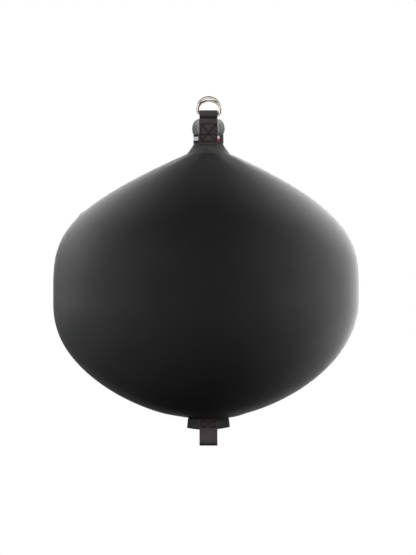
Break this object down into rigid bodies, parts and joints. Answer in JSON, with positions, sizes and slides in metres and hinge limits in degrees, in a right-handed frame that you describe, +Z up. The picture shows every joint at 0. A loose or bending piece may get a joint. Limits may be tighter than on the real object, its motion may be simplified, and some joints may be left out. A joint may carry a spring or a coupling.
{
  "type": "ball fender",
  "caption": "Round inflatable boat fender in a dark fabric cover, hung from a webbing strap with D-rings, with a webbing tail loop.",
  "frame": {"origin": "on the fender's centre line, level with the inside of the front ring's crown, where a hanging line bears", "axes": "+Z up along the fender's centre line, -Y towards the front, +X to the right seen from the front"},
  "size_m": [0.85, 0.85, 0.9732],
  "materials": {
    "cover_fabric": "matte charcoal woven cover",
    "bladder_skin": "smooth inner bladder",
    "valve_plastic": "moulded black",
    "band_tape": "woven tape with navy edge lines",
    "tab_cloth": "plain woven tab",
    "webbing": "black polyester webbing",
    "ring_steel": "polished stainless wire"
  },
  "bodies": {
    "fender": {"cover_front": "cover_fabric", "cover_rear": "cover_fabric", "bladder": "bladder_skin", "valve_body": "valve_plastic", "valve_plug": "valve_plastic", "neck_sleeve": "cover_fabric", "tail_tongue": "cover_fabric", "neck_band": "band_tape", "left_tab": "tab_cloth", "right_tab": "tab_cloth", "top_strap": "webbing", "tail_loop": "webbing"},
    "front_d_ring": {"front_ring": "ring_steel"},
    "rear_d_ring": {"rear_ring": "ring_steel"}
  },
  "joints": [
    {"name": "front_ring_swing", "type": "hinge", "parent": "fender", "child": "front_d_ring", "pos_m": [-0.0013, -0.0033, -0.04386], "axis": [0.9914, 0, -0.1305], "range_deg": [0, 150]},
    {"name": "rear_ring_swing", "type": "hinge", "parent": "fender", "child": "rear_d_ring", "pos_m": [0.0015, 0.0033, -0.04144], "axis": [-0.9997, 0, 0.0262], "range_deg": [-36, 113]}
  ]
}
